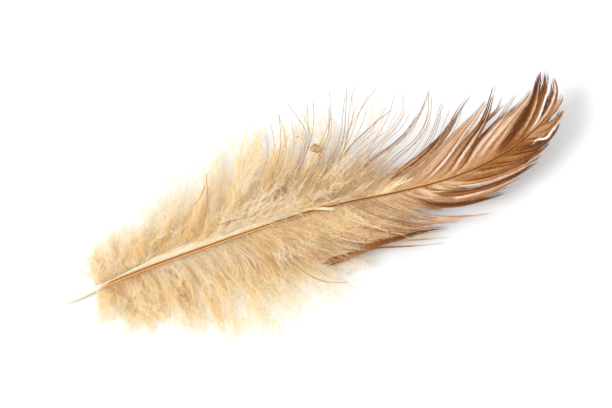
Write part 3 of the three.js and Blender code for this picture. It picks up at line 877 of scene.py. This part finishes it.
RIGHT_LOCKS = [
    (0, 0, 8, 0.45, 0.3, 0.85, 1.0, 0.9, 61.4, -15.0, 66, -15.9, 73.4, -16.4, 79.3, -17.2, 85.4,
     -18),
    (64, 6, 11, 0.9, 0.45, 0.42, 0.88, 0.3, 67, -9.5, 72, -14.2, 78.7, -16.5, 82.9, -17.2, 86.9,
     -18.2, 91, -19.6),
    (70, 4, 10, 0.8, 0.4, 0.45, 0.7, 0, 73.5, -11, 79, -15, 84, -16.8, 89.5, -18.4),
    (61, 0.6, 2, 0.1, 0.1, 0.6, 0.85, 0.2, 64.5, -12.3, 69, -15.9, 74.1, -17.3, 79, -19.2, 84,
     -21.2, 88.7, -22.9),
    (66, 0.6, 2, 0.1, 0.15, 0.5, 0.8, 0.4, 69.6, -12.6, 74.8, -15.9, 78.6, -17.4, 84.7, -19.9,
     89.6, -22, 94.6, -23.7),
    (48.5, 0.6, 1, 0.1, 0.1, 0.62, 0.8, 1.0, 52, -10, 54.6, -14.6, 56.4, -18, 59.3, -20.9, 63.8,
     -23),
    (76.3, 2, 4, 0.5, 0.5, 0.4, 0.6, 0, 79.3, -11.1, 83.8, -15.1, 89, -17, 94.5, -19.3),
    (80.5, 2.4, 4, 0.26, 0.12, 0.5, 0.85, 0.2, 83.4, -10.8, 87.2, -14.3, 91.9, -17, 96.9, -19.1,
     100.7, -20.4, 103.8, -21.2),
    (85.5, 3, 9, 0.5, 0.3, 0.6, 0.9, 0.3, 87.7, -9.2, 90.3, -12.3, 94.4, -14.6, 99.7, -16.2, 103.7,
     -17, 106.9, -17.5),
    (87, 1.4, 5, 0.3, 0.3, 0.5, 0.8, 0.5, 89, -9.9, 91.9, -12.2, 98.5, -14.9, 104.3, -16.2, 108.5,
     -16.8),
    (88.5, 2, 8, 0.6, 0.4, 0.36, 0.42, 0, 91.2, -11, 96, -13.4, 102, -14.8, 108, -15.2, 112, -15),
    (90.3, 2.6, 10, 0.5, 0.3, 0.7, 0.95, 0.3, 92.9, -10, 95.7, -11.8, 100.5, -13.4, 105.1, -14.2,
     109.3, -14.4, 113.8, -14.1, 118.4, -13),
    (93.6, 4, 11, 0.5, 0.3, 0.36, 0.44, 0.4, 97.1, -9.9, 102, -11.9, 107.2, -13, 112.8, -13.3,
     117.9, -12.8),
    (98.5, 7, 20, 1.0, 0.5, 0.62, 0.85, 0.1, 101.5, -9.7, 106.8, -11.2, 112, -12.2, 116, -12),
    (105.5, 7, 20, 1.1, 0.6, 0.72, 0.95, 0.1, 108.8, -9.5, 113, -11, 117, -11.2, 120.8, -10.2),
    (112.5, 7, 20, 1.1, 0.5, 0.78, 0.98, 0.1, 115.5, -8.8, 118.5, -9.5, 122, -8.8, 124.8, -7.1),
    (118.5, 5, 13, 0.8, 0.4, 0.6, 0.9, 0, 120.4, -6.9, 122.5, -7, 125, -5.9, 126.8, -4.4),
    # The last row is a few loose barbs folded over near the tip, painted nearly white: a painted
    # highlight for the sheen on the fold.
    (117, 0, 3, 0.09, 0.06, 0.06, 0.08, 1.2, 116.8, -9.2, 118.4, -8.7, 120.4, -9.3, 122.4, -8.3,
     124.8, -7),
]
# The loose inner barbs of the vane. The pairs hold x of the roots and the values there. stray is
# in degrees, and bare_from is the share of a barb from which it has no barbules. They are longer
# up to x of longer_to, and shrink towards the barb's tip.
VANES = {
    "left_vane": dict(
        side=LEFT, seed=31, roots=(47, 82), bend_by=1.7, thick=(0.09, 0.04),
        edges=(45, 48, 53, 56, 61, 65, 70.5, 74, 79, 84.0), curly_to=68,
        pulls=((45, 70, 90), (0.2, 0.3, 0.5)), stray=((45, 85), (12, 8)),
        reach=((47, 60, 74, 82), (0.52, 0.50, 0.42, 0.32)),
        bare_from=((46, 80, 95), (0.85, 0.85, 0.9)), quirk=0.1, fade=0.3,
        longer=1.0, longer_to=58, shrink=0.4,
        browning=[(0.36, 0.5, 0.10), (0.64, 0.72, 0.06)],
        barbs=(0.30, [(0.3, 0.95, 0.12)], 0.30),
        barbules=(0.21, [(0.3, 1.0, 0.08)], 0.24),
    ),
    "right_vane": dict(
        side=RIGHT, seed=47, roots=(50, 94), bend_by=1.0, thick=(0.09, 0.05),
        edges=(49, 52, 55, 59, 63, 67, 71, 75, 79.5, 84, 88.5, 95.0), curly_to=78,
        pulls=((55, 75, 85, 105), (0.3, 0.6, 0.8, 0.75)), stray=((55, 126), (6, 3)),
        reach=((50, 60, 70, 84, 94), (0.9, 0.85, 0.62, 0.42, 0.3)),
        bare_from=((56, 78, 95), (0.95, 0.85, 0.85)), quirk=0.06, fade=0.25,
        longer=0.9, longer_to=60, shrink=0.0,
        browning=[(0.45, 0.60, 0.20), (0.66, 0.74, 0.10)],
        barbs=(0.36, [(0.3, 0.9, 0.20)], 0.28),
        barbules=(0.28, [(0.3, 0.9, 0.16)], 0.22),
    ),
}
VANE_STEP = 0.38
VANE_WEB = 0.48  # the barbules' length
VANE_SPACING = 0.085
CURLY = (1.6 * VANE_SPACING, 42, 0.08, 0.35)  # spacing, tilt, width and curl of the barbules
STRAIGHT = (VANE_SPACING, 16, 0.07, 0)


def build_vane(name):
    """The loose barbs of one side's vane and their barbules, which are curly nearer the down."""
    vane = VANES[name]
    rng = np.random.default_rng(vane["seed"])
    roots = np.arange(*vane["roots"], VANE_STEP)
    lines = vane_lines(vane, roots, rng)
    quirk = vane["quirk"] * rng.normal(0, 1, len(roots))
    bare_from = np.interp(roots, *vane["bare_from"]) + quirk
    longer = vane["longer"] * (1 - smoothstep(vane["longer_to"], 92, roots))
    share = np.linspace(0, 1, lines.shape[1])
    near, far = vane["thick"]
    thick = (near + (far - near) * share) * rng.uniform(0.75, 1.25, (len(roots), 1))
    base, tipping, mottle = vane["barbs"]
    add_barbs(
        name + "_barbs", tubes(lines, thick, roots / LENGTH, share), base, vane["browning"],
        tipping, [(mottle, 330, 1.2, 5)], 0.15, 0.45, 0.25)
    parts = []
    for curly in (True, False):
        chosen = np.flatnonzero((roots < vane["curly_to"]) == curly)

        def length_at(owner, share):
            barb = chosen[owner]
            full = VANE_WEB + longer[barb] * (1 - vane["shrink"] * share)
            faded = 1 - smoothstep(bare_from[barb] - vane["fade"], bare_from[barb], share)
            return full * faded * smoothstep(0.0, 0.05, share)

        spacing, *kind = CURLY if curly else STRAIGHT
        parts.append(grow_barbules(
            lines[chosen], roots[chosen] / LENGTH, spacing, rng, length_at, 38, *kind))
    base, tipping, mottle = vane["barbules"]
    add_barbs(
        name + "_barbules", joined(parts), base, vane["browning"], tipping,
        [(mottle, 330, 1.2, 5), (0.10, 20, 2.5, 7)], 0.3, 0.55, 0.2)


# Dirt and strays

STRAYS = [  # the loose dark filaments on the down, each by its points
    [(42.5, 15.2, 6.6), (41.2, 11.4, 6.8), (39.4, 7.1, 6.6), (36.5, 2.6, 5.6)],
    [(41.2, 12.7, 6.8), (39.4, 10.7, 6.7), (36.6, 8.7, 6.2)],
    [(40.3, 2.4, 5.9), (44.8, 2.1, 5.9), (49.3, 1.3, 5.8)],
    [(62.5, 1.4, 6.2), (63.3, -0.8, 6.0)],
]
CRUMB = np.array([68.98, 11.53, 6.2])
CRUMB_SIZE = np.array([1.62, 1.4, 0.95])
FLAKE = np.array([66.3, 15.7, 7.0])
FLAKE_SIZE = np.array([0.55, 0.2, 0.12])
DENTS = 14
CORNERS = 60


def build_strays():
    lines = []
    share = np.linspace(0, 1, 12)
    for points in STRAYS:
        x, y, z = np.array(points).T
        at = np.linspace(0, 1, len(points))
        lines.append(np.stack([np.interp(share, at, part) for part in (x, y, z)], -1))
    u = np.full(len(lines), 0.4)
    add_barbs(
        "stray_filaments", tubes(np.array(lines), 0.085 - 0.03 * share, u, share, 4), 0.84, [], [],
        [(0.1, 20, 4, 1)], 0.1)


def build_lump(name, centre, size, detail, seed, material, node):
    """A lump with dents and corners, from a sphere whose points are moved in and out."""
    rng = np.random.default_rng(seed)
    mesh = bpy.data.meshes.new(name + "_ball")
    ball = bmesh.new()
    bmesh.ops.create_icosphere(ball, subdivisions=detail, radius=1.0)
    ball.to_mesh(mesh)
    ball.free()
    points = np.array([v.co for v in mesh.vertices])
    triangles = np.array([p.vertices for p in mesh.polygons])
    bpy.data.meshes.remove(mesh)
    swell = np.ones(len(points))
    for _ in range(DENTS):
        way = unit(rng.normal(0, 1, 3))
        swell -= 0.16 * smoothstep(0.55, 1.0, points @ way)
    for _ in range(CORNERS):
        way = unit(rng.normal(0, 1, 3))
        swell += rng.uniform(-0.08, 0.10) * smoothstep(0.88, 1.0, points @ way)
    uv = np.stack([0.5 + 0.5 * points[:, 0], 0.5 + 0.5 * points[:, 1]], -1)
    add_piece(name, (centre + points * swell[:, None] * size, triangles, uv), material, node)


# Camera, light and floor

ELEVATION = math.radians(70)
TURN = math.radians(22.6)  # the feather's turn from the picture's right-hand direction
MM_PER_PIXEL = 0.243
LENS = 100.0
SENSOR = 36.0
PICTURE_WIDTH = 612
AIM = np.array([62.62, 1.28, 0.0])  # the spot on the surface in the picture's middle
FLOOR_HALF = 1.5  # metres
FLOOR_GREY = 0.69
SKY_STRENGTH = 1.17
SUN_STRENGTH = 2.4
SUN_WIDTH = math.radians(24)
SUN_FROM = (-0.8, -0.4, 1.0)  # to the right, away from the camera and up


def direction(right, away, up):
    """A direction given to the picture's right, away from the camera along the surface, and up."""
    c, s = math.cos(TURN), math.sin(TURN)
    return Vector((c * right + s * away, -s * right + c * away, up))


def build_camera():
    data = bpy.data.cameras.new("camera")
    data.lens = LENS
    data.sensor_width = SENSOR
    distance = MM_PER_PIXEL * PICTURE_WIDTH * LENS / SENSOR * MM
    back = direction(0, -math.cos(ELEVATION), math.sin(ELEVATION))
    camera = add_object("camera", data)
    right = direction(1, 0, 0)
    turned = Matrix((right, back.cross(right), back)).transposed().to_4x4()
    spot = Vector((AIM - BOX_CENTRE) * MM)
    camera.matrix_world = Matrix.Translation(spot + back * distance) @ turned
    data.clip_start = 0.01
    data.clip_end = 10
    bpy.context.scene.camera = camera


def build_light():
    scene = bpy.context.scene
    scene.view_settings.view_transform = "Standard"
    world = bpy.data.worlds.new("soft_box")
    world.use_nodes = True
    sky = world.node_tree.nodes["Background"]
    sky.inputs["Color"].default_value = (1, 1, 1, 1)
    sky.inputs["Strength"].default_value = SKY_STRENGTH
    scene.world = world
    data = bpy.data.lights.new("key", "SUN")
    data.energy = SUN_STRENGTH
    data.angle = SUN_WIDTH
    towards = direction(*SUN_FROM).to_track_quat("Z", "Y")
    add_object("key", data).rotation_euler = towards.to_euler()


def build_floor():
    mesh = bpy.data.meshes.new("floor")
    corners = [(-1, -1), (1, -1), (1, 1), (-1, 1)]
    points = [(x * FLOOR_HALF, y * FLOOR_HALF, 0) for x, y in corners]
    mesh.from_pydata(points, [], [(0, 1, 2, 3)])
    floor = add_object("floor", mesh)
    s = Shading("white_surface")
    colour = (FLOOR_GREY, FLOOR_GREY, FLOOR_GREY, 1)
    mesh.materials.append(s.finish(s.principled(colour, 0.9, 0.1)))


build_camera()
build_light()
build_floor()
build_shaft()
build_groove_brown_and_shade()
build_barb_bases()
for layer in [  # name, side, x of the first and of the last root, seed, style
    ("left_down", LEFT, 8.2, 52, 11, UNDER_DOWN),
    ("right_down", RIGHT, 8.2, 56, 12, RIGHT_UNDER_DOWN),
    ("left_tufts", LEFT, 8.2, 62, 13, TUFTS),
    ("right_tufts", RIGHT, 8.2, 56, 14, TUFTS),
    ("left_wisps", LEFT, 8.2, 52, 15, WISPS),
    ("right_wisps", RIGHT, 8.2, 56, 16, RIGHT_WISPS),
    ("left_cream_tufts", LEFT, 36, 60, 20, CREAM_TUFTS),
    ("left_fuzz", LEFT, 48, 66, 17, VANE_FUZZ),
    ("left_outer_fuzz", LEFT, 60, 76, 22, OUTER_FUZZ),
    ("left_haze", LEFT, 44, 68, 19, HAZE),
    ("right_fuzz", RIGHT, 50, 67, 18, RIGHT_FUZZ),
]:
    build_down(*layer)
for name in VANES:
    build_vane(name)
build_locks("left_locks", LEFT, LEFT_LOCKS, 41, CLOSED)
build_locks("left_hairs", LEFT, LEFT_HAIRS, 42, OPEN)
build_locks("right_teeth", RIGHT, TEETH_LINES, 44, TEETH)
build_locks("right_locks", RIGHT, RIGHT_LOCKS, 43, CLOSED)
build_strays()
build_lump("dirt_crumb_lump", CRUMB, CRUMB_SIZE, 4, 5, speckled_material(
    "dirt", ((0.22, 0.13, 0.05), (0.50, 0.34, 0.17)), 2200.0, 0.95), "dirt_crumb")
build_lump("grey_flake", FLAKE, FLAKE_SIZE, 3, 6, speckled_material(
    "grey_flake", ((0.20, 0.19, 0.18), (0.36, 0.34, 0.32)), 3000.0, 0.9), "dirt_crumb")
